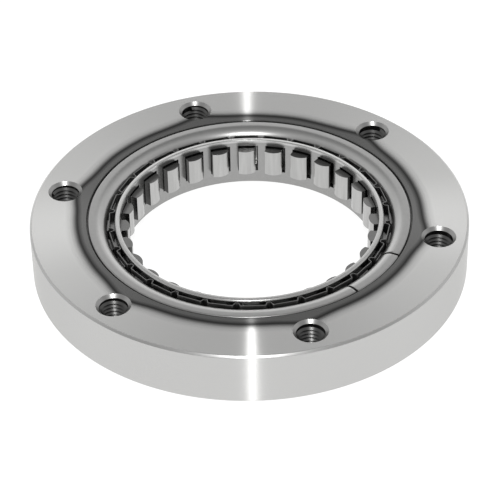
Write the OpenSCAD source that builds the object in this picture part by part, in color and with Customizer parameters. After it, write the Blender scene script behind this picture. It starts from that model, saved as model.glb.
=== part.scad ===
/* [Hub and race] */
// Diameter of the hub that runs inside the sprags
hub_d = 68.6; // [67:0.01:70]
// Radial space between the hub and the outer race
race_space = 7.365; // [7.3:0.005:7.5]

/* [Outer ring] */
// Outside diameter of the ring
ring_od = 125; // [122:0.5:140]
// Height of the ring
ring_h = 16; // [15.6:0.1:20]
// Chamfer along the outer edges of the ring
ring_chamfer = 0.6; // [0.3:0.1:1.2]
// Chamfer at the lower end of the race
race_chamfer = 0.6; // [0.3:0.1:1]
// Small chamfer at the mouth of the counterbore
recess_chamfer = 0.2; // [0.1:0.05:0.3]

/* [Bolt holes] */
// Number of tapped holes
bolt_count = 6; // [3:1:8]
// Distance of the bolt circle outside the middle of the ring's face
bolt_offset = 0.25; // [0:0.05:0.5]
// Thread diameter
bolt_d = 8; // [5:1:8]
// Diameter of the chamfered mouth of a hole
bolt_mouth_d = 9; // [8.6:0.1:9.6]

/* [Outer cage] */
// Sheet thickness of the outer cage
outer_sheet = 1; // [0.8:0.05:1]
// Running gap between the cage wall and the race
cage_race_gap = 0.265; // [0.2:0.005:0.3]
// Radial width of the flange beyond the race
flange_w = 4.335; // [3.5:0.005:5]
// Gap around the flange in its counterbore
flange_gap = 0.4; // [0.3:0.05:0.6]
// Running gap between the flange and the floor under it
flange_lift = 0.05; // [0.02:0.01:0.1]
// Depth of the flange below the face of the ring
flange_recess = 0.1; // [0.05:0.05:0.3]
// Outer radius of the bend between the wall and the flange
bend_r = 3.8; // [3:0.05:4]
// Height of both cages above the bottom face of the ring
cage_foot = 0.2; // [0.2:0.05:1]

/* [Drag clip] */
// Angle between the two slits that free the clip
clip_angle = 24.8; // [23:0.1:26]
// Width of each slit
slit_w = 0.7; // [0.4:0.1:1]
// Reach of the clip beyond the rest of the flange
clip_reach = 0.2; // [0.1:0.05:0.25]

/* [Inner cage] */
// Sheet thickness of the inner cage
inner_sheet = 1.5; // [1.2:0.05:1.6]
// Radial space between the two cages
cage_space = 1.95; // [1.9:0.05:2]
// Depth of the inner cage's rim below the flange
rim_drop = 0.4; // [0.3:0.05:1.2]
// Chamfer along the edges of the inner cage
rim_chamfer = 0.2; // [0.1:0.05:0.4]

/* [Windows] */
// Number of sprags, with one window for each in both cages
sprag_count = 28; // [24:1:28]
// Width of a window in the outer cage
outer_window_w = 6.2; // [6:0.1:6.6]
// Width of a window in the inner cage
inner_window_w = 5.9; // [5.8:0.05:6.1]
// Depth of the windows' upper edge below the flange
window_drop = 2.5; // [2.2:0.1:3]
// Gap between each end of a sprag and its window
sprag_end_gap = 0.45; // [0.2:0.05:0.6]
// Angle from the first bolt hole to the first inner window
window_phase = 0.38; // [-3:0.01:3]
// Lead of a sprag over the middle of its inner window
sprag_lead = 0.47; // [0.3:0.01:0.5]

/* [Sprags] */
// Length of a sprag along the clutch's axis
sprag_l = 8.1; // [7:0.1:8.6]
// Cam radius of the outer end
outer_cam_r = 4.4; // [4.2:0.05:4.6]
// Cam radius of the inner end
inner_cam_r = 4.2; // [3.8:0.05:4.3]
// Sideways distance between the two cam centres
cam_shift = 0.9; // [0.7:0.05:1]
// Width of the outer end
head_w = 5.2; // [4.8:0.1:5.4]
// Width of the inner end
foot_w = 5; // [4.6:0.1:5.1]
// Width of the neck, where the spring's tongue presses
neck_w = 3.6; // [3.2:0.1:3.8]
// Radius of the two hollows that form the neck
hollow_r = 1; // [0.9:0.05:1.1]
// Running gap between the outer cam and the race
cam_gap = 0.06; // [0.04:0.01:0.1]
// Reach of a relaxed sprag past the hub's surface
sprag_reach = 0.13; // [0.1:0.01:0.2]
// Bevel at the ends of the cam faces
sprag_bevel = 0.3; // [0.1:0.05:0.4]

/* [Ribbon spring] */
// Thickness of the strip
ribbon_t = 0.25; // [0.15:0.05:0.3]
// Gap between the strip and each cage
ribbon_gap = 0.2; // [0.15:0.05:0.25]
// Width of each rail above and below the windows
ribbon_rail = 1.2; // [0.8:0.1:1.6]
// Width of a window in the strip
ribbon_window_w = 6.2; // [6:0.1:6.4]
// Angle taken by each fold, where the strip turns inward
fold_angle = 3; // [2.8:0.1:3.2]
// Angle taken by the flat bottom of a fold
fold_flat = 1.3; // [1:0.1:1.6]
// Lead of each fold over the middle of its bar
fold_lead = 0.68; // [0.55:0.01:0.75]
// Length of a spring tongue along the clutch's axis
tongue_l = 3; // [2:0.1:4]
// Gap between a tongue's tip and the sprag's neck
tongue_gap = 0.2; // [0.15:0.01:0.25]

/* [Hidden] */
// Overlap that lets a cut run clean through a face
CUT = 1;
// Smoothness of every round surface
$fn = 96;

hub_r = hub_d / 2;
race_r = hub_r + race_space;
ring_r = ring_od / 2;
pitch = 360 / sprag_count;

// The outer cage, from the race inward and from the flange down
cage_outer_r = race_r - cage_race_gap;
cage_inner_r = cage_outer_r - outer_sheet;
flange_r = race_r + flange_w;
flange_top = ring_h - flange_recess;
recess_r = flange_r + flange_gap;
recess_floor = flange_top - outer_sheet - flange_lift;
face_inner_r = recess_r + recess_chamfer;
face_outer_r = ring_r - ring_chamfer;
bolt_circle_r = (face_inner_r + face_outer_r) / 2 + bolt_offset;
bend_centre_r = cage_inner_r + bend_r;
bend_centre_z = flange_top - bend_r;
corner_r = bend_r - outer_sheet - cage_race_gap;

// The inner cage
inner_cage_outer_r = cage_inner_r - cage_space;
inner_cage_inner_r = inner_cage_outer_r - inner_sheet;
rim_top = flange_top - rim_drop;

// Windows and sprags share one height
window_top = flange_top - window_drop;
window_h = sprag_l + 2 * sprag_end_gap;
window_floor = window_top - window_h;
sprag_floor = window_floor + sprag_end_gap;

// A sprag's own lines, with the race to its outside and the hub to its inside
cam_top_r = race_r - cam_gap;
cam_tip_r = hub_r - sprag_reach;
outer_cam_centre = [cam_top_r - outer_cam_r, -cam_shift / 2];
inner_cam_centre = [cam_tip_r + inner_cam_r, cam_shift / 2];
neck_r = (cage_inner_r + inner_cage_outer_r) / 2;
hollow_offset = neck_w / 2 + hollow_r;

// The strip's middle line runs between two radii
ribbon_high = cage_inner_r - ribbon_gap - ribbon_t / 2;
ribbon_low = inner_cage_outer_r + ribbon_gap + ribbon_t / 2;
ribbon_chord_r = ribbon_high * cos((pitch - fold_angle) / 2);
ribbon_top = window_top + ribbon_rail;
ribbon_floor = window_floor - ribbon_rail;
fold_middle = window_phase + pitch / 2 + fold_lead;

function sprag_name(i) = str("sprag_", i < 10 ? "0" : "", i);
function sprag_angle(i) = window_phase + sprag_lead + (i - 1) * pitch;
function at(r, angle) = [r * cos(angle), r * sin(angle)];
function unit(v) = v / norm(v);
function left_of(v) = [-v[1], v[0]];

// Step sideways from point b of a line a, b, c that moves both of its stretches by 1
function mitre(a, b, c) =
    let (before = left_of(unit(b - a)), after = left_of(unit(c - b)))
    (before + after) / (1 + before * after);

// Middle line of the strip: each fold is two steep legs and a flat bottom
function ribbon_line() = [
    for (i = [0 : sprag_count - 1])
        for (step = [
            [ribbon_high, -fold_angle / 2],
            [ribbon_low, -fold_flat / 2],
            [ribbon_low, fold_flat / 2],
            [ribbon_high, fold_angle / 2]
        ])
            at(step[0], fold_middle + i * pitch + step[1])
];

// The same line moved sideways, to the left of its direction for a positive shift
function shifted(line, shift) =
    let (n = len(line))
    [for (i = [0 : n - 1]) line[i] + shift * mitre(line[(i + n - 1) % n], line[i], line[(i + 1) % n])];

// A disc with both edges chamfered, standing on the ground
module chamfered_disc(r, h, chamfer) {
    rotate_extrude()
        polygon([
            [0, 0],
            [r - chamfer, 0],
            [r, chamfer],
            [r, h - chamfer],
            [r - chamfer, h],
            [0, h]
        ]);
}

// One block per window, reaching from radius r1 to radius r2
module window_blocks(r1, r2, w, phase) {
    for (i = [0 : sprag_count - 1])
        rotate([0, 0, phase + i * pitch])
            translate([r1, -w / 2, window_floor])
                cube([r2 - r1, w, window_h]);
}

// Half section of the ring, with a rounded corner between the race and the counterbore
module ring_section() {
    difference() {
        polygon([
            [race_r + race_chamfer, 0],
            [face_outer_r, 0],
            [ring_r, ring_chamfer],
            [ring_r, ring_h - ring_chamfer],
            [face_outer_r, ring_h],
            [face_inner_r, ring_h],
            [recess_r, ring_h - recess_chamfer],
            [recess_r, recess_floor],
            [race_r, recess_floor],
            [race_r, race_chamfer]
        ]);
        difference() {
            translate([race_r - CUT, recess_floor - corner_r])
                square(corner_r + CUT);
            translate([race_r + corner_r, recess_floor - corner_r])
                circle(r = corner_r);
        }
    }
}

module outer_ring() {
    color([0.78, 0.78, 0.77])
        difference() {
            rotate_extrude()
                ring_section();
            for (i = [0 : bolt_count - 1])
                rotate([0, 0, i * 360 / bolt_count])
                    translate([bolt_circle_r, 0, 0])
                        bolt_hole();
        }
}

// A tapped hole at its thread diameter, with a chamfered mouth at both ends
module bolt_hole() {
    mouth = (bolt_mouth_d - bolt_d) / 2;
    rotate_extrude()
        polygon([
            [0, -CUT],
            [bolt_d / 2 + mouth + CUT, -CUT],
            [bolt_d / 2, mouth],
            [bolt_d / 2, ring_h - mouth],
            [bolt_d / 2 + mouth + CUT, ring_h + CUT],
            [0, ring_h + CUT]
        ]);
}

// Half section of the outer cage: wall, bend and flange
module cage_section() {
    translate([cage_inner_r, cage_foot])
        square([outer_sheet, bend_centre_z - cage_foot]);
    intersection() {
        translate([bend_centre_r, bend_centre_z])
            difference() {
                circle(r = bend_r);
                circle(r = bend_r - outer_sheet);
            }
        translate([cage_inner_r, bend_centre_z])
            square(bend_r);
    }
    translate([bend_centre_r, flange_top - outer_sheet])
        square([flange_r + clip_reach - bend_centre_r, outer_sheet]);
}

// The flange is trimmed back to its own radius all round, but not on the clip
module flange_trim(from, angle) {
    rotate([0, 0, from])
        rotate_extrude(angle = angle)
            translate([flange_r, flange_top - outer_sheet - CUT])
                square([clip_reach + CUT, outer_sheet + 2 * CUT]);
}

module outer_cage() {
    clip_middle = window_phase - 2 * pitch;
    color([0.6, 0.6, 0.58])
        difference() {
            rotate_extrude()
                cage_section();
            flange_trim(clip_middle + clip_angle / 2, 360 - clip_angle);
            window_blocks(cage_inner_r - CUT, race_r + CUT, outer_window_w, window_phase + sprag_lead);
            for (side = [-1, 1])
                rotate([0, 0, clip_middle + side * clip_angle / 2])
                    translate([cage_inner_r - CUT, -slit_w / 2, window_top - CUT])
                        cube([recess_r - cage_inner_r + 2 * CUT, slit_w, window_drop + 2 * CUT]);
        }
}

module inner_cage() {
    color([0.72, 0.72, 0.7])
        difference() {
            rotate_extrude()
                polygon([
                    [inner_cage_inner_r, cage_foot],
                    [inner_cage_outer_r - rim_chamfer, cage_foot],
                    [inner_cage_outer_r, cage_foot + rim_chamfer],
                    [inner_cage_outer_r, rim_top - rim_chamfer],
                    [inner_cage_outer_r - rim_chamfer, rim_top],
                    [inner_cage_inner_r + rim_chamfer, rim_top],
                    [inner_cage_inner_r, rim_top - rim_chamfer]
                ]);
            window_blocks(inner_cage_inner_r - CUT, inner_cage_outer_r + CUT, inner_window_w, window_phase);
        }
}

// Flat shape of the closed, folded strip seen along the clutch's axis
module ribbon_outline() {
    line = ribbon_line();
    n = len(line);
    polygon(
        points = concat(shifted(line, -ribbon_t / 2), shifted(line, ribbon_t / 2)),
        paths = [[for (i = [0 : n - 1]) i], [for (i = [n : 2 * n - 1]) i]]
    );
}

// A spring tongue, from the side of its window to just short of the sprag's neck
module tongue() {
    root = [ribbon_chord_r, ribbon_window_w / 2];
    tip = [neck_r, neck_w / 2 + tongue_gap + ribbon_t / 2];
    side = ribbon_t / 2 * left_of(unit(tip - root));
    translate([0, 0, sprag_floor + (sprag_l - tongue_l) / 2])
        linear_extrude(tongue_l)
            polygon([root + side, tip + side, tip - side, root - side]);
}

module ribbon_spring() {
    color([0.66, 0.65, 0.62])
        union() {
            difference() {
                translate([0, 0, ribbon_floor])
                    linear_extrude(ribbon_top - ribbon_floor)
                        ribbon_outline();
                window_blocks(
                    (ribbon_high + ribbon_low) / 2,
                    cage_inner_r,
                    ribbon_window_w,
                    window_phase + sprag_lead
                );
            }
            for (i = [1 : sprag_count])
                rotate([0, 0, sprag_angle(i)])
                    tongue();
        }
}

// One cam end: a bevelled disc cut to the width of the sprag
module cam_end(centre, r, inner, outer, w) {
    intersection() {
        translate(centre)
            chamfered_disc(r, sprag_l, sprag_bevel);
        translate([inner, -w / 2, 0])
            cube([outer - inner, w, sprag_l]);
    }
}

module sprag() {
    translate([0, 0, sprag_floor])
        difference() {
            union() {
                cam_end(outer_cam_centre, outer_cam_r, neck_r, race_r, head_w);
                cam_end(inner_cam_centre, inner_cam_r, hub_r - CUT, neck_r, foot_w);
            }
            for (side = [-1, 1])
                translate([neck_r, side * hollow_offset, -CUT])
                    cylinder(r = hollow_r, h = sprag_l + 2 * CUT);
        }
}

outer_ring();
outer_cage();
inner_cage();
ribbon_spring();
for (i = [1 : sprag_count])
    color([0.8, 0.8, 0.79])
            rotate([0, 0, sprag_angle(i)])
                sprag();
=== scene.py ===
# %% [markdown]
# # Sprag clutch
# A one-way clutch: a thick steel ring with six tapped holes, and inside it a caged row of
# 28 cam-shaped sprags. The imported model comes in as a fixed frame in metres, with its bottom
# face on the floor and its axis on Z.

# %% Load the frame
import bmesh
import bpy
import math
from mathutils import Matrix, Vector


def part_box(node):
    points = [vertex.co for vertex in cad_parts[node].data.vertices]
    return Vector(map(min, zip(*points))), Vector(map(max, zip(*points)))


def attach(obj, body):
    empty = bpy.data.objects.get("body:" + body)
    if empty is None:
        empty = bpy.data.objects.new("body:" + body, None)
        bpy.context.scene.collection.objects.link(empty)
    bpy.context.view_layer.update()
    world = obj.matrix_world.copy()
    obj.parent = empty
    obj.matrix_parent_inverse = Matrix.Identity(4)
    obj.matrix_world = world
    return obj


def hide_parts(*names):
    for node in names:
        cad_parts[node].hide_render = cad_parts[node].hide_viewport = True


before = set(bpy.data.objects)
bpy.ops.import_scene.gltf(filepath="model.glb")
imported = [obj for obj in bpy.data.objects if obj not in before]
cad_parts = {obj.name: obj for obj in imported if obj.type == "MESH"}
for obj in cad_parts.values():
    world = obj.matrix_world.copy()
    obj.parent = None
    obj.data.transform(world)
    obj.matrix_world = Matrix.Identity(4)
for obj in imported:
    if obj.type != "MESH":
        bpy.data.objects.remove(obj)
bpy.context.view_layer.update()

# %% [markdown]
# ## Sizes
# A maker works in millimetres, so every size below is in millimetres, and MM turns it into
# Blender's metres. Angles are in degrees. The outside of the ring is read from the frame. The
# sizes that can't be read from a box, such as a bend or a window, are the drawing's own.

# %% Sizes of the pieces
MM = 0.001
RING_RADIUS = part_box("outer_ring")[1][0] / MM
RING_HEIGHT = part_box("outer_ring")[1][2] / MM
RACE_RADIUS = 41.665
RECESS_RADIUS = 46.4
RECESS_FLOOR = 14.85
CAGE_INSIDE = 40.4
CAGE_OUTSIDE = 41.4
FLANGE_RADIUS = 46.0
FLANGE_TOP = 15.9
CAGE_FOOT = 0.2
RIM_INSIDE = 36.95
RIM_OUTSIDE = 38.45
RIM_TOP = 15.5
SPRAGS = 28
PITCH = 360 / SPRAGS
WINDOW_FLOOR = 4.4
WINDOW_TOP = 13.4
FIRST_WINDOW = 0.38
FIRST_SPRAG = 0.85
print("ring", round(RING_RADIUS, 3), "x", round(RING_HEIGHT, 3), "mm, pitch", round(PITCH, 3), "degrees")

# %% [markdown]
# ## Camera
# The photograph was taken from 38 degrees above the floor with a long lens, a little to one
# side of a bolt hole and slightly rolled. We build the camera's three axes from those angles
# and put them straight into its matrix, which leaves no doubt about the roll.

# %% Camera
azimuth = math.radians(13.15)
elevation = math.radians(38.317)
roll = math.radians(1.107)
distance = 647.96 * MM

forward = Vector((-math.sin(azimuth), math.cos(azimuth), 0))
right = Vector((math.cos(azimuth), math.sin(azimuth), 0))
back = Vector((0, 0, math.sin(elevation))) - forward * math.cos(elevation)
up = back.cross(right)
camera_x = math.cos(roll) * right - math.sin(roll) * up
camera_y = math.sin(roll) * right + math.cos(roll) * up

camera_data = bpy.data.cameras.new("camera")
camera = bpy.data.objects.new("camera", camera_data)
bpy.context.scene.collection.objects.link(camera)
pose = Matrix((camera_x, camera_y, back)).transposed().to_4x4()
pose.translation = back * distance
camera.matrix_world = pose
camera_data.sensor_width = 36
camera_data.lens = 161.225
camera_data.shift_x = -0.00014
camera_data.shift_y = 0.01525
camera_data.clip_start = 0.01
bpy.context.scene.camera = camera
print("camera at", [round(value, 3) for value in camera.matrix_world.translation])

# %% [markdown]
# ## Tools for modelling
# An operator works on everything that is selected, and the frame's pieces arrive selected.
# So we clear the selection before each new piece, and we select faces, edges and corners in
# code, by their place. These few helpers are the hand moves that the whole clutch is made of.


# %% Selecting
def clear_selection():
    if bpy.context.object and bpy.context.object.mode == "EDIT":
        bpy.ops.object.mode_set(mode="OBJECT")
    bpy.ops.object.select_all(action="DESELECT")


def take(piece):
    """Selects one piece and makes it the one that operators work on."""
    clear_selection()
    piece.select_set(True)
    bpy.context.view_layer.objects.active = piece


def edit_all(piece):
    """Opens a piece in edit mode, with all of it selected."""
    take(piece)
    bpy.ops.object.mode_set(mode="EDIT")
    bpy.ops.mesh.select_all(action="SELECT")


def middle_of(item):
    """The middle of a corner, an edge or a face, in millimetres."""
    corners = [item] if isinstance(item, bmesh.types.BMVert) else item.verts
    return sum((corner.co for corner in corners), Vector()) / len(corners) / MM


def pick(piece, kind, test):
    """Selects the corners, edges or faces of a piece that pass a test of their middle, in millimetres."""
    edit_all(piece)
    bpy.ops.mesh.select_mode(type=kind)
    bpy.ops.mesh.select_all(action="DESELECT")
    form = bmesh.from_edit_mesh(piece.data)
    items = {"VERT": form.verts, "EDGE": form.edges, "FACE": form.faces}[kind]
    chosen = [item for item in items if test(middle_of(item), item)]
    for item in chosen:
        item.select_set(True)
    form.select_flush_mode()
    bmesh.update_edit_mesh(piece.data)
    return len(chosen)


# %% Starting, shaping and cutting
def apply_place(piece):
    """Moves a piece's place, turn and scale into its mesh, and leaves its object at the origin."""
    take(piece)
    bpy.ops.object.transform_apply(location=True, rotation=True, scale=True)


def turn(piece, degrees):
    """Turns a piece about the clutch's axis and leaves the turn in its mesh."""
    piece.rotation_euler.z = math.radians(degrees)
    apply_place(piece)


def block(name, low, high):
    """A box between two corners in millimetres, to be shaped further or used as a cutter."""
    clear_selection()
    middle = [(a + b) / 2 * MM for a, b in zip(low, high)]
    bpy.ops.mesh.primitive_cube_add(size=1, location=middle)
    piece = bpy.context.object
    piece.name = name
    piece.scale = [(b - a) * MM for a, b in zip(low, high)]
    apply_place(piece)
    return piece


def boolean(piece, tool, operation="DIFFERENCE"):
    """Applies one solid to another and throws the tool away."""
    take(piece)
    modifier = piece.modifiers.new("shape", "BOOLEAN")
    modifier.operation = operation
    modifier.solver = "EXACT"
    modifier.object = tool
    bpy.ops.object.modifier_apply(modifier=modifier.name)
    bpy.data.objects.remove(tool)


def joined(pieces):
    """Makes one piece of several, without uniting their solids."""
    clear_selection()
    for piece in pieces:
        piece.select_set(True)
    bpy.context.view_layer.objects.active = pieces[0]
    bpy.ops.object.join()
    return pieces[0]


# %% [markdown]
# ## Turned sections
# The ring and both cages are round, so each starts as its cross-section: a flat plate that
# stands in the XZ plane. We round its corners with a vertex bevel, keep only its outline,
# and spin that once about Z. A rounding drawn in the section runs evenly all the way round,
# which a bevel on the finished ring would not.


# %% Sections and spin
def section_plate(name, inside, outside, low, high):
    """A flat plate in the XZ plane between two radii and two heights, in millimetres."""
    clear_selection()
    bpy.ops.mesh.primitive_plane_add(
        size=1, rotation=(math.pi / 2, 0, 0),
        location=((inside + outside) / 2 * MM, 0, (low + high) / 2 * MM))
    piece = bpy.context.object
    piece.name = name
    piece.scale = ((outside - inside) * MM, (high - low) * MM, 1)
    apply_place(piece)
    return piece


def split(piece, point, normal):
    """Cuts new edges across a piece, where a plane meets it."""
    edit_all(piece)
    bpy.ops.mesh.bisect(plane_co=[value * MM for value in point], plane_no=normal)


def pull_edge(piece, test, move):
    """Grows a new face from the edges that pass a test."""
    pick(piece, "EDGE", test)
    bpy.ops.mesh.extrude_region_move(TRANSFORM_OT_translate={"value": [value * MM for value in move]})


def round_corner(piece, radius, height, size, segments):
    """Rounds one corner of a section. One segment makes a flat chamfer."""
    pick(piece, "VERT", lambda at, item: math.hypot(at.x - radius, at.z - height) < 0.01)
    bpy.ops.mesh.bevel(offset=size * MM, segments=segments, affect="VERTICES", profile=0.5)


def spin_outline(piece, steps):
    """Spins a section's outline once about Z, which gives a closed round shell."""
    edit_all(piece)
    bpy.ops.mesh.delete(type="ONLY_FACE")
    bpy.ops.mesh.select_all(action="SELECT")
    bpy.ops.mesh.spin(steps=steps, angle=2 * math.pi, center=(0, 0, 0), axis=(0, 0, 1))
    bpy.ops.mesh.select_all(action="SELECT")
    bpy.ops.mesh.remove_doubles(threshold=0.002 * MM)
    bpy.ops.mesh.normals_make_consistent(inside=False)
    bpy.ops.object.mode_set(mode="OBJECT")


def plain_outline(piece):
    """Removes the lines that are left across a flat section, so that only its outline is spun."""
    edit_all(piece)
    bpy.ops.mesh.dissolve_limited(angle_limit=math.radians(0.1))


# %% [markdown]
# ## Last touches and hand-over
# Real edges are never sharp: a narrow bevel gives each one the thin bright line that makes
# metal look solid. Weighted normals then keep the flat faces flat, so the shading only
# bends across the narrow bevels. Each piece ends by taking the place of its CAD node.


# %% Softening, checking and handing over
def soften(piece, width, segments=2, over=30):
    """Bevels every edge that turns by more than some degrees. The width is in millimetres."""
    take(piece)
    modifier = piece.modifiers.new("soft edges", "BEVEL")
    modifier.width = width * MM
    modifier.segments = segments
    modifier.limit_method = "ANGLE"
    modifier.angle_limit = math.radians(over)
    bpy.ops.object.modifier_apply(modifier=modifier.name)


def smooth(piece, over=35):
    """Shades a piece smooth, apart from the edges that turn by more than some degrees."""
    take(piece)
    bpy.ops.object.shade_smooth_by_angle(angle=math.radians(over))
    modifier = piece.modifiers.new("flat faces", "WEIGHTED_NORMAL")
    modifier.keep_sharp = True
    bpy.ops.object.modifier_apply(modifier=modifier.name)


def measure(piece):
    """Prints a piece's faces, its open edges, which should be none, and its volume."""
    form = bmesh.new()
    form.from_mesh(piece.data)
    open_edges = sum(len(edge.link_faces) != 2 for edge in form.edges)
    print(piece.name, len(form.faces), "faces,", open_edges, "open edges,",
          round(form.calc_volume(signed=True) / MM ** 3, 1), "cubic mm")
    form.free()


def hand_over(piece, body, node=None):
    """Lets a piece ride on its body and stand for its CAD node."""
    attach(piece, body)
    if node:
        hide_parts(node)


# %% [markdown]
# ## Outer ring
# The ring is turned from bar: a wide flat face, a ground race in the bore, and a shallow
# counterbore that takes the cage's flange. The corner under the flange is rounded, because
# the sheet bends around it there. We pull the face up from the plate beside the counterbore.

# %% Ring section
CHAMFER = 0.6
CORNER_UNDER_BEND = 2.535
RECESS_ROUNDING = 0.2
EDGE_BREAK = 0.12
RING_STEPS = 288
RING_BEVEL = 0.06

ring = section_plate("ring", RACE_RADIUS, RING_RADIUS, 0, RECESS_FLOOR)
split(ring, (RECESS_RADIUS, 0, 0), (1, 0, 0))
pull_edge(ring, lambda at, item: at.x > RECESS_RADIUS + 1 and at.z > RECESS_FLOOR - 0.1,
          (0, 0, RING_HEIGHT - RECESS_FLOOR))
plain_outline(ring)
round_corner(ring, RACE_RADIUS, RECESS_FLOOR, CORNER_UNDER_BEND, 10)
for radius, height in ((RING_RADIUS, RING_HEIGHT), (RING_RADIUS, 0), (RACE_RADIUS, 0)):
    round_corner(ring, radius, height, CHAMFER, 1)
chamfer_edges = (
    (RING_RADIUS - CHAMFER, RING_HEIGHT), (RING_RADIUS, RING_HEIGHT - CHAMFER),
    (RING_RADIUS - CHAMFER, 0), (RING_RADIUS, CHAMFER),
    (RACE_RADIUS + CHAMFER, 0), (RACE_RADIUS, CHAMFER))
for radius, height in chamfer_edges:
    round_corner(ring, radius, height, EDGE_BREAK, 2)
round_corner(ring, RECESS_RADIUS, RING_HEIGHT, RECESS_ROUNDING, 3)
spin_outline(ring, RING_STEPS)
measure(ring)

# %% [markdown]
# ## Bolt holes
# Six holes are tapped M8 through the ring, each with a countersunk mouth at both ends. The
# cutter is a plain drill at the thread's full diameter, whose two ends are pulled out and
# widened to cut the countersinks in the same move. Its ends reach 1 mm past the ring's faces,
# because two faces that lie in one plane make a boolean unsure of what is inside.

# %% Bolt holes
BOLTS = 6
BOLTS_AT = 54.5
BOLT_RADIUS = 4.0
MOUTH = 0.9
CUT_PAST = 1


def drill(angle):
    """A drill with two countersinks, turned to its place on the bolt circle."""
    clear_selection()
    bpy.ops.mesh.primitive_cylinder_add(
        vertices=64, radius=BOLT_RADIUS * MM, depth=(RING_HEIGHT - 2 * MOUTH) * MM,
        location=(BOLTS_AT * MM, 0, RING_HEIGHT / 2 * MM))
    tool = bpy.context.object
    apply_place(tool)
    reach = MOUTH + CUT_PAST
    wider = (BOLT_RADIUS + reach) / BOLT_RADIUS
    for side in (1, -1):
        pick(tool, "FACE", lambda at, item: item.normal.z * side > 0.9)
        bpy.ops.mesh.extrude_region_move(TRANSFORM_OT_translate={"value": (0, 0, side * reach * MM)})
        bpy.ops.transform.resize(value=(wider, wider, 1), center_override=(BOLTS_AT * MM, 0, 0))
    clear_selection()
    turn(tool, angle)
    return tool


for number in range(BOLTS):
    boolean(ring, drill(number * 360 / BOLTS))
soften(ring, RING_BEVEL)
smooth(ring)
measure(ring)
hand_over(ring, "outer_ring", "outer_ring")

# %% [markdown]
# ## Threads
# The thread in each hole is a V-shaped ridge that climbs 1.25 mm a turn. A Screw modifier
# winds one small triangle up the hole, which is how a real tap works too. The triangle's base
# bites a little into the wall, so that no gap shows. The two open ends are then closed with a
# face. One thread is modelled, and the other five are copies.

# %% One thread
THREAD_PITCH = 1.25
THREAD_DEPTH = 0.68
THREAD_BASE = 1.1
THREAD_START = 1.6
THREAD_TURNS = 10
STEPS_A_TURN = 32
BITE_INTO_WALL = 0.03
TRIANGLE_RADIUS = 0.5
TRIANGLE_DEPTH = 0.75
TRIANGLE_BASE = 0.866

clear_selection()
bpy.ops.mesh.primitive_circle_add(
    vertices=3, radius=TRIANGLE_RADIUS * MM, fill_type="NGON", rotation=(math.pi / 2, 0, 0))
thread = bpy.context.object
thread.name = "thread_1"
apply_place(thread)
edit_all(thread)
bpy.ops.transform.rotate(value=math.pi / 2, orient_axis="Y", center_override=(0, 0, 0))
bpy.ops.transform.resize(value=(THREAD_DEPTH / TRIANGLE_DEPTH, 1, THREAD_BASE / TRIANGLE_BASE))
base = max(corner.co.x for corner in bmesh.from_edit_mesh(thread.data).verts)
bpy.ops.transform.translate(value=((BOLT_RADIUS + BITE_INTO_WALL) * MM - base, 0, THREAD_START * MM))
bpy.ops.object.mode_set(mode="OBJECT")
wind = thread.modifiers.new("wind", "SCREW")
wind.screw_offset = THREAD_PITCH * MM
wind.iterations = THREAD_TURNS
wind.steps = STEPS_A_TURN
wind.render_steps = STEPS_A_TURN
bpy.ops.object.modifier_apply(modifier=wind.name)
pick(thread, "EDGE", lambda at, item: len(item.link_faces) == 1)
bpy.ops.mesh.fill()
bpy.ops.mesh.select_all(action="SELECT")
bpy.ops.mesh.normals_make_consistent(inside=False)
bpy.ops.object.mode_set(mode="OBJECT")
smooth(thread, 25)
thread.location = (BOLTS_AT * MM, 0, 0)
apply_place(thread)
measure(thread)

# %% All six threads
threads = [thread]
for number in range(1, BOLTS):
    take(thread)
    bpy.ops.object.duplicate(linked=False)
    copy = bpy.context.object
    copy.name = "thread_" + str(number + 1)
    turn(copy, number * 360 / BOLTS)
    threads.append(copy)
for piece in threads:
    hand_over(piece, "outer_ring")
print(len(threads), "threads")

# %% [markdown]
# ## Outer cage
# The outer cage is one pressed sheet, 1 mm thick: a wall inside the race, a wide bend, and a
# flange that lies in the counterbore. We draw it as an L and round the two sides of its knee
# with two radii that share one centre, so that the sheet keeps its thickness in the bend.

# %% Outer cage section
SHEET = 1.0
BEND_RADIUS = 3.8
FLANGE_ROUNDING = 0.45
FOOT_ROUNDING = 0.15
CAGE_STEPS = 8 * SPRAGS

outer_cage = section_plate("cage_with_flange", CAGE_INSIDE, CAGE_OUTSIDE, CAGE_FOOT, FLANGE_TOP)
split(outer_cage, (0, 0, FLANGE_TOP - SHEET), (0, 0, 1))
pull_edge(outer_cage, lambda at, item: abs(at.x - CAGE_OUTSIDE) < 0.01 and at.z > FLANGE_TOP - SHEET,
          (FLANGE_RADIUS - CAGE_OUTSIDE, 0, 0))
plain_outline(outer_cage)
round_corner(outer_cage, CAGE_INSIDE, FLANGE_TOP, BEND_RADIUS, 16)
round_corner(outer_cage, CAGE_OUTSIDE, FLANGE_TOP - SHEET, BEND_RADIUS - SHEET, 16)
round_corner(outer_cage, FLANGE_RADIUS, FLANGE_TOP, FLANGE_ROUNDING, 6)
round_corner(outer_cage, FLANGE_RADIUS, FLANGE_TOP - SHEET, EDGE_BREAK, 2)
for radius in (CAGE_INSIDE, CAGE_OUTSIDE):
    round_corner(outer_cage, radius, CAGE_FOOT, FOOT_ROUNDING, 2)
spin_outline(outer_cage, CAGE_STEPS)
measure(outer_cage)

# %% [markdown]
# ## Drag clip and windows
# Two slits free a part of the flange, the drag clip, which stands 0.2 mm further out and
# rubs on the ring. We move its edge out first, so that the slits cut through the step. The
# slits run on down the bend to the windows, which are 28 blocks, joined into one tool and cut
# in one go.

# %% Drag clip
CLIP_HALF_ANGLE = 12.4
CLIP_MIDDLE = FIRST_WINDOW - 2 * PITCH
CLIP_REACH = 0.2
SLIT = 0.7
SLIT_FOOT = WINDOW_TOP - 1


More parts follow.
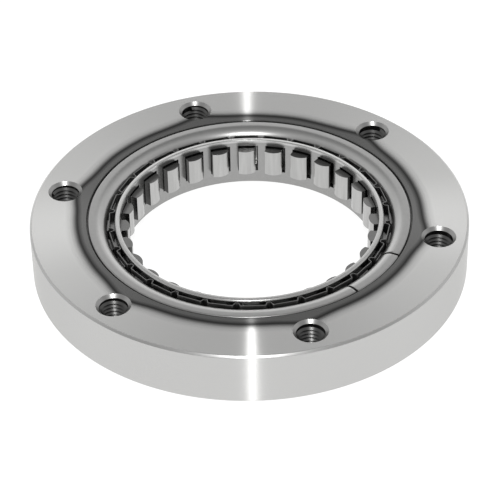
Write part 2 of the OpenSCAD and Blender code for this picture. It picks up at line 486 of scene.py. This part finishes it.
def degrees_from_clip(at):
    """How far round a place is from the middle of the clip, between -180 and 180 degrees."""
    return (math.degrees(math.atan2(at.y, at.x)) - CLIP_MIDDLE + 180) % 360 - 180


moved = pick(outer_cage, "VERT", lambda at, item: math.hypot(at.x, at.y) > FLANGE_RADIUS - 1
             and abs(degrees_from_clip(at)) < CLIP_HALF_ANGLE)
further = (FLANGE_RADIUS + CLIP_REACH) / FLANGE_RADIUS
bpy.ops.transform.resize(value=(further, further, 1), center_override=(0, 0, 0))
clear_selection()
print(moved, "corners of the clip moved out")

for side in (-1, 1):
    slit = block("slit", (CAGE_INSIDE - CUT_PAST, -SLIT / 2, SLIT_FOOT),
                 (RECESS_RADIUS + CUT_PAST, SLIT / 2, RING_HEIGHT + CUT_PAST))
    turn(slit, CLIP_MIDDLE + side * CLIP_HALF_ANGLE)
    boolean(outer_cage, slit)

# %% Windows of the outer cage
OUTER_WINDOW = 6.2
OUTER_CAGE_BEVEL = 0.08


def window_tool(inside, outside, width, first):
    """One tool of 28 blocks, which reach past a wall on both sides."""
    tools = []
    for number in range(SPRAGS):
        tool = block("window", (inside - CUT_PAST, -width / 2, WINDOW_FLOOR),
                     (outside + CUT_PAST, width / 2, WINDOW_TOP))
        turn(tool, first + number * PITCH)
        tools.append(tool)
    return joined(tools)


boolean(outer_cage, window_tool(CAGE_INSIDE, RACE_RADIUS, OUTER_WINDOW, FIRST_SPRAG))
soften(outer_cage, OUTER_CAGE_BEVEL, over=40)
smooth(outer_cage)
measure(outer_cage)
hand_over(outer_cage, "outer_cage", "outer_cage")

# %% [markdown]
# ## Inner cage
# The inner cage is a plain drawn ring with the same row of windows, a little narrower. It
# holds the inner ends of the sprags, and its rim is the brightest line inside. Drawing leaves
# the rim's outer corner rounder than the others, so each corner has its own rounding.

# %% Inner cage
INNER_WINDOW = 5.9
INNER_CAGE_BEVEL = 0.1
INNER_FOOT_ROUNDING = 0.25
RIM_INNER_ROUNDING = 0.3
RIM_OUTER_ROUNDING = 0.7

inner_cage = section_plate("inner_cage_ring", RIM_INSIDE, RIM_OUTSIDE, CAGE_FOOT, RIM_TOP)
for radius in (RIM_INSIDE, RIM_OUTSIDE):
    round_corner(inner_cage, radius, CAGE_FOOT, INNER_FOOT_ROUNDING, 6)
round_corner(inner_cage, RIM_INSIDE, RIM_TOP, RIM_INNER_ROUNDING, 6)
round_corner(inner_cage, RIM_OUTSIDE, RIM_TOP, RIM_OUTER_ROUNDING, 6)
spin_outline(inner_cage, CAGE_STEPS)
boolean(inner_cage, window_tool(RIM_INSIDE, RIM_OUTSIDE, INNER_WINDOW, FIRST_WINDOW))
soften(inner_cage, INNER_CAGE_BEVEL, over=40)
smooth(inner_cage)
measure(inner_cage)
hand_over(inner_cage, "inner_cage", "inner_cage")

# %% [markdown]
# ## Ribbon spring
# The ribbon is a thin strip folded 28 times. Between two folds it has a window for a sprag,
# and a tongue bent out of that window presses on the sprag's neck. It could be bent from one
# long strip, but it is easier to make one step of it: a flat panel, three pulls for a fold,
# six cuts for the window and the tongue's root, and one pull for the tongue. Spin then
# repeats the step 28 times round the axis, and the doubles at the seams are merged. Its top
# edge stands 0.35 mm higher than the CAD's, closer under the rim, as the photograph shows it.

# %% Sizes of the ribbon
STRIP = 0.25
STRIP_GAP = 0.2
RIBBON_FLOOR = 3.2
RIBBON_TOP = 14.95
RIBBON_HIGH = CAGE_INSIDE - STRIP_GAP - STRIP / 2
RIBBON_LOW = RIM_OUTSIDE + STRIP_GAP + STRIP / 2
FOLD = 3.0
FOLD_FLAT = 1.3
FOLD_LEAD = 0.68
FOLD_MIDDLE = FIRST_WINDOW + PITCH / 2 + FOLD_LEAD - FIRST_SPRAG
PANEL_MIDDLE = FOLD_MIDDLE - PITCH / 2
PANEL_HALF = (PITCH - FOLD) / 2
WINDOW_HALF = 3.1
TONGUE_LOW, TONGUE_HIGH = 7.4, 10.4
TONGUE_TIP = 2.125
NECK_RADIUS = 39.425
print("the ribbon is folded between radii", round(RIBBON_LOW, 3), "and", round(RIBBON_HIGH, 3), "mm")


# %% One step of the ribbon
def on_circle(radius, degrees):
    """A place on a circle about the clutch's axis."""
    angle = math.radians(degrees)
    return Vector((radius * math.cos(angle), radius * math.sin(angle), 0))


def seen_from_panel(point):
    """A point that is given from the sprag's middle line, turned to the panel's middle line."""
    return Matrix.Rotation(-math.radians(PANEL_MIDDLE), 3, "Z") @ point


panel_edge = on_circle(RIBBON_HIGH, PANEL_HALF)
fold_corners = [panel_edge] + [
    on_circle(radius, PANEL_HALF + angle)
    for radius, angle in (
        (RIBBON_LOW, (FOLD - FOLD_FLAT) / 2),
        (RIBBON_LOW, (FOLD + FOLD_FLAT) / 2),
        (RIBBON_HIGH, FOLD))]

clear_selection()
bpy.ops.mesh.primitive_plane_add(
    size=1, rotation=(0, math.pi / 2, 0),
    location=(panel_edge.x * MM, 0, (RIBBON_FLOOR + RIBBON_TOP) / 2 * MM))
ribbon = bpy.context.object
ribbon.name = "folded_ribbon"
ribbon.scale = ((RIBBON_TOP - RIBBON_FLOOR) * MM, 2 * panel_edge.y * MM, 1)
apply_place(ribbon)
for start, end in zip(fold_corners, fold_corners[1:]):
    pull_edge(ribbon, lambda at, item: math.hypot(at.x - start.x, at.y - start.y) < 0.01, end - start)

# %% Window and tongue
window_middle = seen_from_panel(Vector((panel_edge.x, 0, 0))).y
for height in (WINDOW_FLOOR, TONGUE_LOW, TONGUE_HIGH, WINDOW_TOP):
    split(ribbon, (0, 0, height), (0, 0, 1))
for side in (-1, 1):
    split(ribbon, (0, window_middle + side * WINDOW_HALF, 0), (0, 1, 0))
pick(ribbon, "FACE", lambda at, item: abs(at.y - window_middle) < WINDOW_HALF
     and WINDOW_FLOOR < at.z < WINDOW_TOP)
bpy.ops.mesh.delete(type="FACE")
root = Vector((panel_edge.x, window_middle + WINDOW_HALF, 0))
tip = seen_from_panel(Vector((NECK_RADIUS, TONGUE_TIP, 0)))
pull_edge(ribbon, lambda at, item: abs(at.y - root.y) < 0.01 and TONGUE_LOW < at.z < TONGUE_HIGH,
          tip - root)
clear_selection()
turn(ribbon, FIRST_SPRAG + PANEL_MIDDLE)
print("one step of the ribbon has", len(ribbon.data.polygons), "faces")

# %% [markdown]
# The folds are rounded before the strip gets its thickness, because a sheet can't be bent to
# a sharp corner. Solidify then gives it 0.25 mm, half on each side.

# %% The whole ribbon
FOLD_ROUNDING = 0.15
RIBBON_BEVEL = 0.05

edit_all(ribbon)
bpy.ops.mesh.spin(steps=SPRAGS, angle=2 * math.pi, center=(0, 0, 0), axis=(0, 0, 1), dupli=True)
bpy.ops.mesh.select_all(action="SELECT")
bpy.ops.mesh.remove_doubles(threshold=0.02 * MM)
bpy.ops.mesh.normals_make_consistent(inside=False)


def is_fold(at, item):
    """Says whether an edge is upright, on one of the two radii of the folds, and bent."""
    radius = math.hypot(at.x, at.y)
    upright = abs(item.verts[0].co.z - item.verts[1].co.z) > 0.5 * MM
    on_fold = min(abs(radius - RIBBON_HIGH), abs(radius - RIBBON_LOW)) < 0.012
    return upright and on_fold and len(item.link_faces) == 2 and item.calc_face_angle(0) > 0.4


folds = pick(ribbon, "EDGE", is_fold)
bpy.ops.mesh.bevel(offset=FOLD_ROUNDING * MM, segments=3, affect="EDGES")
take(ribbon)
thickness = ribbon.modifiers.new("thickness", "SOLIDIFY")
thickness.thickness = STRIP * MM
thickness.offset = 0
thickness.use_even_offset = True
bpy.ops.object.modifier_apply(modifier=thickness.name)
soften(ribbon, RIBBON_BEVEL, over=40)
smooth(ribbon)
measure(ribbon)
print(folds, "fold edges rounded")
hand_over(ribbon, "ribbon_spring", "ribbon_spring")

# %% [markdown]
# ## Sprags
# A sprag is a small steel cam. Its outer and inner ends are arcs whose centres are set to
# opposite sides, so that it grows taller when it tilts one way and jams between race and
# hub. Each end starts as a cylinder, cut to the width of the sprag by a block. The two are
# united, and two round hollows form the neck where the ribbon's tongue presses.

# %% Ends of a sprag
SPRAG_FLOOR, SPRAG_TOP = 4.85, 12.95
OUTER_CENTRE, OUTER_ARC, OUTER_WIDTH = (37.205, -0.45), 4.4, 5.2
INNER_CENTRE, INNER_ARC, INNER_WIDTH = (38.37, 0.45), 4.2, 5.0
PAST_RACE, PAST_TIPS = 43, 33


def cam_end(name, centre, radius, inside, outside, width):
    """One end of a sprag: a cylinder, cut to a width and between two distances from the axis."""
    clear_selection()
    bpy.ops.mesh.primitive_cylinder_add(
        vertices=160, radius=radius * MM, depth=(SPRAG_TOP - SPRAG_FLOOR) * MM,
        location=(centre[0] * MM, centre[1] * MM, (SPRAG_FLOOR + SPRAG_TOP) / 2 * MM))
    piece = bpy.context.object
    piece.name = name
    apply_place(piece)
    keep = block("width", (inside, -width / 2, 0), (outside, width / 2, RING_HEIGHT))
    boolean(piece, keep, "INTERSECT")
    return piece


sprag = cam_end("cam_01", OUTER_CENTRE, OUTER_ARC, NECK_RADIUS, PAST_RACE, OUTER_WIDTH)
inner_end = cam_end("inner_end", INNER_CENTRE, INNER_ARC, PAST_TIPS, NECK_RADIUS, INNER_WIDTH)
boolean(sprag, inner_end, "UNION")
measure(sprag)

# %% Neck and edges of a sprag
HOLLOW_RADIUS = 1.0
HOLLOW_SIDE = 2.8
HOLLOW_MIDDLE = 9
HOLLOW_LENGTH = 12
SPRAG_BEVEL = 0.3

for side in (-1, 1):
    clear_selection()
    bpy.ops.mesh.primitive_cylinder_add(
        vertices=48, radius=HOLLOW_RADIUS * MM, depth=HOLLOW_LENGTH * MM,
        location=(NECK_RADIUS * MM, side * HOLLOW_SIDE * MM, HOLLOW_MIDDLE * MM))
    boolean(sprag, bpy.context.object)
soften(sprag, SPRAG_BEVEL, segments=4)
smooth(sprag)
measure(sprag)

# %% [markdown]
# All the sprags are alike, so the finished one is copied 27 times. Each copy has its own mesh
# and is turned to its window, with the turn left in the mesh, and rides on its own body.

# %% All the sprags
sprags = [sprag]
for number in range(1, SPRAGS):
    take(sprag)
    bpy.ops.object.duplicate(linked=False)
    copy = bpy.context.object
    copy.name = "cam_%02d" % (number + 1)
    sprags.append(copy)
for number, piece in enumerate(sprags):
    turn(piece, FIRST_SPRAG + number * PITCH)
    body = "sprag_%02d" % (number + 1)
    hand_over(piece, body, body)
print(len(sprags), "sprags")

# %% [markdown]
# ## Materials
# Everything here is bare steel, and the finishes differ in how the metal was worked. Each
# finish is a node tree, built with the same few helpers. All patterns read Object coordinates,
# so they stay on a piece when it turns with its joint. A Mix node has a set of sockets for
# each kind of data, and its colours are found by their number.

# %% Nodes and links
MIX_A, MIX_B, MIX_RESULT = 6, 7, 2


def new_tree(name):
    """A new material with an empty node tree."""
    material = bpy.data.materials.new(name)
    material.use_nodes = True
    material.node_tree.nodes.clear()
    return material, material.node_tree


def add_node(tree, kind, **values):
    """A new node, with its own settings."""
    made = tree.nodes.new(kind)
    for key, value in values.items():
        setattr(made, key, value)
    return made


def feed(tree, socket, value):
    """Links an output to a socket, or sets the socket where the value is a plain number."""
    if isinstance(value, bpy.types.NodeSocket):
        tree.links.new(value, socket)
    elif isinstance(value, (int, float)) and socket.type == "RGBA":
        socket.default_value = (value, value, value, 1)
    else:
        socket.default_value = value


def maths(tree, operation, *values, clamp=False):
    """One sum. Each value is an output or a plain number."""
    made = add_node(tree, "ShaderNodeMath", operation=operation, use_clamp=clamp)
    for socket, value in zip(made.inputs, values):
        feed(tree, socket, value)
    return made.outputs[0]


def ramp(tree, value, stops, interpolation="LINEAR"):
    """A grey ramp. Each stop is a position and a grey."""
    made = add_node(tree, "ShaderNodeValToRGB")
    feed(tree, made.inputs[0], value)
    made.color_ramp.interpolation = interpolation
    while len(made.color_ramp.elements) < len(stops):
        made.color_ramp.elements.new(0.5)
    for element, (position, grey) in zip(made.color_ramp.elements, stops):
        element.position = position
        element.color = (grey, grey, grey, 1)
    return made.outputs[0]


def between(tree, factor, low, high):
    """Goes from low to high as the factor goes from 0 to 1."""
    made = add_node(tree, "ShaderNodeMix", data_type="RGBA")
    feed(tree, made.inputs["Factor"], factor)
    feed(tree, made.inputs[MIX_A], low)
    feed(tree, made.inputs[MIX_B], high)
    return made.outputs[MIX_RESULT]


# %% Places and patterns
def place(tree):
    """Object coordinates, their three parts and the distance from the axis, all in metres."""
    coordinates = add_node(tree, "ShaderNodeTexCoord").outputs["Object"]
    parts = add_node(tree, "ShaderNodeSeparateXYZ")
    feed(tree, parts.inputs[0], coordinates)
    x, y, z = parts.outputs
    squares = maths(tree, "ADD", maths(tree, "MULTIPLY", x, x), maths(tree, "MULTIPLY", y, y))
    radius = maths(tree, "SQRT", squares)
    return coordinates, x, y, z, radius


def noise(tree, vector, scale, detail=2.0, roughness=0.5):
    """A soft random pattern between 0 and 1. The scale is in waves a metre."""
    made = add_node(tree, "ShaderNodeTexNoise")
    feed(tree, made.inputs["Vector"], vector)
    feed(tree, made.inputs["Scale"], scale)
    feed(tree, made.inputs["Detail"], detail)
    feed(tree, made.inputs["Roughness"], roughness)
    return made.outputs[0]


def vector_of(tree, x, y, z):
    """A vector from three parts."""
    made = add_node(tree, "ShaderNodeCombineXYZ")
    for socket, value in zip(made.inputs, (x, y, z)):
        feed(tree, socket, value)
    return made.outputs[0]


# %% Bare metal
STEEL_TONE = (1.0, 0.998, 0.985, 1)
GROOVE_ANISOTROPY = 0.84


def steel_coloured(tree, grey):
    """Gives a grey the faint warm tone of steel."""
    tone = add_node(tree, "ShaderNodeMix", data_type="RGBA", blend_type="MULTIPLY")
    feed(tree, tone.inputs["Factor"], 1.0)
    feed(tree, tone.inputs[MIX_A], grey)
    feed(tree, tone.inputs[MIX_B], STEEL_TONE)
    return tone.outputs[MIX_RESULT]


def metal(tree, grey, roughness, bump):
    """Metal that shines the same in all directions."""
    shader = add_node(tree, "ShaderNodeBsdfPrincipled")
    feed(tree, shader.inputs["Base Color"], steel_coloured(tree, grey))
    feed(tree, shader.inputs["Roughness"], roughness)
    feed(tree, shader.inputs["Normal"], bump)
    shader.inputs["Metallic"].default_value = 1
    feed(tree, add_node(tree, "ShaderNodeOutputMaterial").inputs[0], shader.outputs[0])


def grooved_metal(tree, grey, roughness, bump, grooves):
    """Metal with fine parallel marks. The vector grooves is the direction that they run in."""
    shader = add_node(tree, "ShaderNodeBsdfAnisotropic")
    feed(tree, shader.inputs["Color"], steel_coloured(tree, grey))
    feed(tree, shader.inputs["Roughness"], roughness)
    feed(tree, shader.inputs["Normal"], bump)
    feed(tree, shader.inputs["Tangent"], grooves)
    shader.inputs["Anisotropy"].default_value = GROOVE_ANISOTROPY
    feed(tree, add_node(tree, "ShaderNodeOutputMaterial").inputs[0], shader.outputs[0])


def dents(tree, height, strength, depth):
    """Small unevenness from a height between 0 and 1. The depth is in millimetres."""
    made = add_node(tree, "ShaderNodeBump")
    made.inputs["Strength"].default_value = strength
    made.inputs["Distance"].default_value = depth * MM
    feed(tree, made.inputs["Height"], height)
    return made.outputs[0]


# %% [markdown]
# ## Turned ring steel
# The tool leaves fine grooves that run round the axis, so the light is smeared across them
# into one narrow bright streak, as on a record. Anisotropy does that: its tangent follows the
# grooves, which is the direction (-y, x, 0) at every point. The Principled shader would do for
# most metals, but its grooves stop at about one to ten, which makes the streak about four times
# as wide as the real one. The Glossy shader goes further, and plain metal needs nothing else.
#
# Beside the cage the face is dark from heat, with an edge that bulges round each bolt hole.
# The cosine of six times the angle is largest at the holes, and a power makes its bumps
# narrow. A ramp over 10 mm of radius then sets how dark the steel is. The counterbore's floor
# and wall take the ramp's inner grey too, a painted shade for the gap round the flange.

# %% Heat tint
TINT_RADIUS = 48.95
TINT_BULGE = 1.7
TINT_WANDER = 0.6
TINT_SPAN = 10
TINT_SHADES = [
    (0.36, 0.25), (0.45, 0.13), (0.50, 0.06), (0.54, 0.15),
    (0.60, 0.42), (0.65, 0.66), (0.72, 0.86), (0.85, 1.0)]

turned_steel, tree = new_tree("turned_ring_steel")
coordinates, x, y, z, radius = place(tree)
six_fold = maths(tree, "COSINE", maths(tree, "MULTIPLY", maths(tree, "ARCTAN2", y, x), float(BOLTS)))
near_bolt = maths(tree, "POWER", maths(tree, "MULTIPLY_ADD", six_fold, 0.5, 0.5), 7.0)
wander = noise(tree, coordinates, 60.0)
tint_edge = maths(tree, "ADD", maths(tree, "MULTIPLY_ADD", near_bolt, TINT_BULGE, TINT_RADIUS),
                  maths(tree, "MULTIPLY_ADD", wander, TINT_WANDER, -TINT_WANDER / 2))
past_edge = maths(tree, "MULTIPLY_ADD", radius, 1 / MM, maths(tree, "MULTIPLY", tint_edge, -1.0))
across_tint = maths(tree, "MULTIPLY_ADD", past_edge, 1 / TINT_SPAN, 0.5, clamp=True)
tint = ramp(tree, across_tint, TINT_SHADES)
print("heat tint out to", TINT_RADIUS, "mm, and", TINT_BULGE, "mm further at the bolts")

# %% Turned grooves
RING_GREY = 0.62
GROOVE_CONTRAST = 0.10
GROOVE_ROUGHNESS = 0.24
GROOVES_A_METRE = 6000.0

around = add_node(tree, "ShaderNodeVectorMath", operation="NORMALIZE")
feed(tree, around.inputs[0], vector_of(tree, maths(tree, "MULTIPLY", y, -1.0), x, 0.0))
rings = noise(tree, vector_of(tree, radius, 0.0, z), GROOVES_A_METRE)
worked = maths(tree, "MULTIPLY_ADD", rings, GROOVE_CONTRAST, RING_GREY)
# The tint covers all that lies above the counterbore's floor, so the counterbore's floor and wall get a
# painted shade: the ramp's inner dark grey.
tint_and_recess_shade = maths(tree, "GREATER_THAN", z, (RECESS_FLOOR - 0.05) * MM)
face_colour = maths(tree, "MULTIPLY", worked, between(tree, tint_and_recess_shade, 1.0, tint))
grooved_metal(tree, face_colour, GROOVE_ROUGHNESS, dents(tree, rings, 1.0, 0.01), around.outputs[0])
print(turned_steel.name, "has", len(tree.nodes), "nodes")

# %% [markdown]
# ## Pressed sheet and strip
# The cages are pressed from rolled sheet, which leaves a satin surface with a faint grain: a
# fine noise that changes both the grey and the height. The outer cage's bend and the inner
# cage's rim get a painted highlight: their grey rises with the radius or the height there.
# The tapped holes and their threads are painted dark inside, a painted shade, and their
# mouths are brighter. The ribbon's strip is painted dark as well, a painted shade for the gap
# between the cages. The ring's chamfer shows no grooves, so its light spreads to both sides.

# %% Sheet and strip steel
# Painted highlights on the outer cage's bend and the inner cage's rim: the measure, the mm where the grey
# starts and stops rising, and the gain.
BEND_PAINTED_HIGHLIGHT = ("radius", 43.4, 42.0, 0.18)
RIM_PAINTED_HIGHLIGHT = ("z", RIM_TOP - 1.0, RIM_TOP - 0.8, 0.2)


def satin_steel(name, grey, roughness, spread=0.05, grain=900.0, painted_highlight=None):
    """Sheet steel. The last argument paints a highlight: z or radius, the mm where its grey starts and
    stops rising, and the gain.
    """
    material, tree = new_tree(name)
    coordinates, x, y, z, radius = place(tree)
    mottled = noise(tree, coordinates, grain, 4.0, 0.6)
    tone = maths(tree, "MULTIPLY_ADD", mottled, spread, grey - spread / 2)
    # Painted highlight: the grey rises across a span of height or radius.
    if painted_highlight:
        measured, start, end, gain = painted_highlight
        where = {"z": z, "radius": radius}[measured]
        highlight_share = maths(tree, "MULTIPLY_ADD", where, 1 / (end - start) / MM, -start / (end - start),
                      clamp=True)
        tone = maths(tree, "MULTIPLY_ADD", highlight_share, gain, tone)
    metal(tree, tone, roughness, dents(tree, mottled, 0.25, 0.01))
    print(name, "has", len(tree.nodes), "nodes")
    return material


flange_steel = satin_steel("outer_cage_sheet", grey=0.37, roughness=0.30, spread=0.06, painted_highlight=BEND_PAINTED_HIGHLIGHT)
rim_steel = satin_steel("inner_cage_sheet", grey=0.36, roughness=0.27, spread=0.06, painted_highlight=RIM_PAINTED_HIGHLIGHT)
# The ribbon's steel is painted dark, a painted shade for the narrow gap between the cages where it sits.
shaded_strip_steel = satin_steel("ribbon_strip_painted_shade", grey=0.20, roughness=0.4, grain=700.0)
# The hole walls and threads are painted very dark, a painted shade for the inside of the deep holes.
shaded_tapped_steel = satin_steel("tapped_holes_painted_shade", grey=0.12, roughness=0.3, spread=0.04, grain=700.0)
mouth_steel = satin_steel("countersinks", grey=0.42, roughness=0.33)
edge_steel = satin_steel("ring_chamfer", grey=0.6, roughness=0.32)

# %% [markdown]
# ## Ground steel
# The sprags are ground on their cam faces and left as tumbled on their ends and flanks, so
# those are duller, and their grey is painted darker still, a painted shade of the windows and
# cage round them. A cam face looks along the radius: the product of its normal and the
# direction away from the axis is near 1 or -1. The normal comes from Texture Coordinate,
# which gives it in the piece's own frame, so the finish turns with the sprag.

# %% Sprag steel
# The grey of ends and flanks is duller for their tumbled finish and darker still as painted shade.
TUMBLED_AND_SHADED_GREY = 0.2
CAM_GREY = 0.39
CAM_CONTRAST = 0.2
CAM_ROUGHNESS = 0.25
GRIND_STRETCH = 0.08

cam_steel, tree = new_tree("ground_sprag_steel")
coordinates, x, y, z, radius = place(tree)
normal = add_node(tree, "ShaderNodeTexCoord").outputs["Normal"]
outwards = add_node(tree, "ShaderNodeVectorMath", operation="NORMALIZE")
feed(tree, outwards.inputs[0], vector_of(tree, x, y, 0.0))
facing = add_node(tree, "ShaderNodeVectorMath", operation="DOT_PRODUCT")
feed(tree, facing.inputs[0], normal)
feed(tree, facing.inputs[1], outwards.outputs[0])
either_way = maths(tree, "ABSOLUTE", facing.outputs["Value"])
on_cam = ramp(tree, either_way, [(0.0, 0.0), (0.35, 0.0), (0.6, 1.0), (1.0, 1.0)])
along_axis = maths(tree, "MULTIPLY", z, GRIND_STRETCH)
brushed = noise(tree, vector_of(tree, x, y, along_axis), 900.0, 3.0)
cam_grey = maths(tree, "MULTIPLY_ADD", brushed, CAM_CONTRAST, CAM_GREY)
sprag_grey = between(tree, on_cam, TUMBLED_AND_SHADED_GREY, cam_grey)
metal(tree, sprag_grey, CAM_ROUGHNESS, dents(tree, brushed, 0.3, 0.01))
print(cam_steel.name, "has", len(tree.nodes), "nodes")

# %% [markdown]
# ## Who gets which steel
# Each piece has one steel, apart from the ring, whose holes, mouths and chamfer have their
# own. Those faces are found by their distance from a bolt's axis or from the clutch's axis.

# %% Give each piece its steel
FINISHES = [
    ([ring], turned_steel), (threads, shaded_tapped_steel), ([outer_cage], flange_steel),
    ([inner_cage], rim_steel), ([ribbon], shaded_strip_steel), (sprags, cam_steel)]
for pieces, material in FINISHES:
    for piece in pieces:
        piece.data.materials.clear()
        piece.data.materials.append(material)
for material in (shaded_tapped_steel, mouth_steel, edge_steel):
    ring.data.materials.append(material)


def from_hole(at):
    """The distance of a place from the nearest bolt's axis, in millimetres."""
    return min((at - on_circle(BOLTS_AT, number * 360 / BOLTS)).xy.length for number in range(BOLTS))


def is_mouth(at, item):
    return from_hole(at) < BOLT_RADIUS + MOUTH + 0.1 and abs(item.normal.z) < 0.95


def is_hole_wall(at, item):
    return from_hole(at) < BOLT_RADIUS + 0.05 and abs(item.normal.z) < 0.3


def is_top_chamfer(at, item):
    return at.xy.length > RING_RADIUS - CHAMFER - 0.2 and 0.3 < item.normal.z < 0.95


for test, material in ((is_mouth, mouth_steel), (is_hole_wall, shaded_tapped_steel), (is_top_chamfer, edge_steel)):
    found = pick(ring, "FACE", test)
    ring.active_material_index = ring.data.materials.find(material.name)
    bpy.ops.object.material_slot_assign()
    print(found, "faces of the ring get", material.name)
clear_selection()

# %% [markdown]
# ## Floor
# The floor is paper. A grey that is lit by the lamp keeps the clutch's shadow, and a glow
# lifts it to white. The glow is seen only by the camera and in reflections, each with a
# strength of its own, so it adds no other light to the clutch.

# %% Floor
PAPER_GREY = 0.3
GLOW_SEEN = 0.9
GLOW_MIRRORED = 0.85

clear_selection()
bpy.ops.mesh.primitive_plane_add(size=6, location=(0, 0, -0.02 * MM))
floor = bpy.context.object
floor.name = "floor"
paper, tree = new_tree("white_paper")
path = add_node(tree, "ShaderNodeLightPath")
mirrored = maths(tree, "MAXIMUM", path.outputs["Is Glossy Ray"], path.outputs["Is Transmission Ray"])
glow_seen = maths(tree, "MULTIPLY", path.outputs["Is Camera Ray"], GLOW_SEEN)
glow_mirrored = maths(tree, "MULTIPLY", mirrored, GLOW_MIRRORED)
diffuse = add_node(tree, "ShaderNodeBsdfDiffuse")
diffuse.inputs["Color"].default_value = (PAPER_GREY, PAPER_GREY, PAPER_GREY, 1)
glow = add_node(tree, "ShaderNodeEmission")
feed(tree, glow.inputs["Strength"], maths(tree, "MAXIMUM", glow_seen, glow_mirrored))
both = add_node(tree, "ShaderNodeAddShader")
feed(tree, both.inputs[0], diffuse.outputs[0])
feed(tree, both.inputs[1], glow.outputs[0])
feed(tree, add_node(tree, "ShaderNodeOutputMaterial").inputs[0], both.outputs[0])
floor.data.materials.append(paper)
print("the floor is", round(floor.dimensions.x, 3), "m wide")

# %% [markdown]
# ## Studio
# Metal shows what stands around it, so the studio is part of the finish. Three ramps go from
# the horizon to straight up. The middle is a bright wall behind the clutch, and the wings on
# both sides of it are dimmer, which gives the turned face its bright and dark sectors. On
# the camera's side it is dim above, as a real studio is behind the photographer. The three
# are mixed by the direction, and the camera itself sees plain white.


# %% Directions in the studio
def along(tree, direction, line):
    """How far a direction points along a line, from -1 to 1."""
    made = add_node(tree, "ShaderNodeVectorMath", operation="DOT_PRODUCT")
    feed(tree, made.inputs[0], direction)
    feed(tree, made.inputs[1], line)
    return made.outputs["Value"]


world = bpy.data.worlds.new("studio")
bpy.context.scene.world = world
world.use_nodes = True
tree = world.node_tree
tree.nodes.clear()
direction = add_node(tree, "ShaderNodeTexCoord").outputs["Generated"]
parts = add_node(tree, "ShaderNodeSeparateXYZ")
feed(tree, parts.inputs[0], direction)
height = parts.outputs[2]
depth = along(tree, direction, forward)
across = along(tree, direction, right)
print("the studio's directions have", len(tree.nodes), "nodes")

# %% Studio air
MIDDLE_LIGHT = [(0.0, 1.2), (0.2, 1.4), (0.4, 1.4), (0.56, 1.3), (0.68, 0.4), (1.0, 0.4)]
WING_LIGHT = [(0.0, 0.55), (0.2, 0.7), (0.4, 0.7), (0.9, 0.6), (1.0, 0.5)]
FRONT_LIGHT = [(0.0, 1.0), (0.2, 0.8), (0.5, 0.35), (1.0, 0.5)]

middle = ramp(tree, height, MIDDLE_LIGHT, "EASE")
wings = ramp(tree, height, WING_LIGHT, "EASE")
apart = ramp(tree, maths(tree, "ABSOLUTE", across), [(0.2, 0.0), (0.55, 1.0)], "EASE")
behind = between(tree, apart, middle, wings)
before = ramp(tree, height, FRONT_LIGHT, "EASE")
far_side = ramp(tree, maths(tree, "MULTIPLY_ADD", depth, 0.5, 0.5), [(0.3, 0.0), (0.6, 1.0)], "EASE")
air = between(tree, far_side, before, behind)
camera_ray = add_node(tree, "ShaderNodeLightPath").outputs["Is Camera Ray"]
background = add_node(tree, "ShaderNodeBackground")
feed(tree, background.inputs["Color"], between(tree, camera_ray, air, 1.0))
feed(tree, add_node(tree, "ShaderNodeOutputWorld").inputs[0], background.outputs[0])
print("the studio has", len(tree.nodes), "nodes")

# %% [markdown]
# ## Lamp
# One small lamp does the rest. It stands on the photographer's side, 53 degrees up, in the
# plane that holds the view and the clutch's axis, so it lights the streak across the turned
# face, the wall and the chamfer, and the glints on the rims. It is narrow from side to side,
# because a wide one would widen the streak. The Standard view shows colours as they are.

# %% Lamp
LAMP_BEFORE = 0.60
LAMP_HEIGHT = 0.80
LAMP_WIDTH = 0.02
LAMP_LENGTH = 0.16
LAMP_WATTS = 2.4

lamp_data = bpy.data.lights.new("front_lamp", "AREA")
lamp_data.shape = "RECTANGLE"
lamp_data.size = LAMP_WIDTH
lamp_data.size_y = LAMP_LENGTH
lamp_data.energy = LAMP_WATTS
lamp = bpy.data.objects.new("front_lamp", lamp_data)
bpy.context.scene.collection.objects.link(lamp)
lamp_place = Vector((0, 0, LAMP_HEIGHT)) - forward * LAMP_BEFORE
lamp_z = lamp_place.normalized()
lamp_x = (right - right.dot(lamp_z) * lamp_z).normalized()
lamp_pose = Matrix((lamp_x, lamp_z.cross(lamp_x), lamp_z)).transposed().to_4x4()
lamp_pose.translation = lamp_place
lamp.matrix_world = lamp_pose
bpy.context.scene.view_settings.view_transform = "Standard"
print("lamp at", [round(value, 3) for value in lamp_place])

# %% [markdown]
# ## Finish
# At the end nothing is left selected.

# %% Finish
clear_selection()
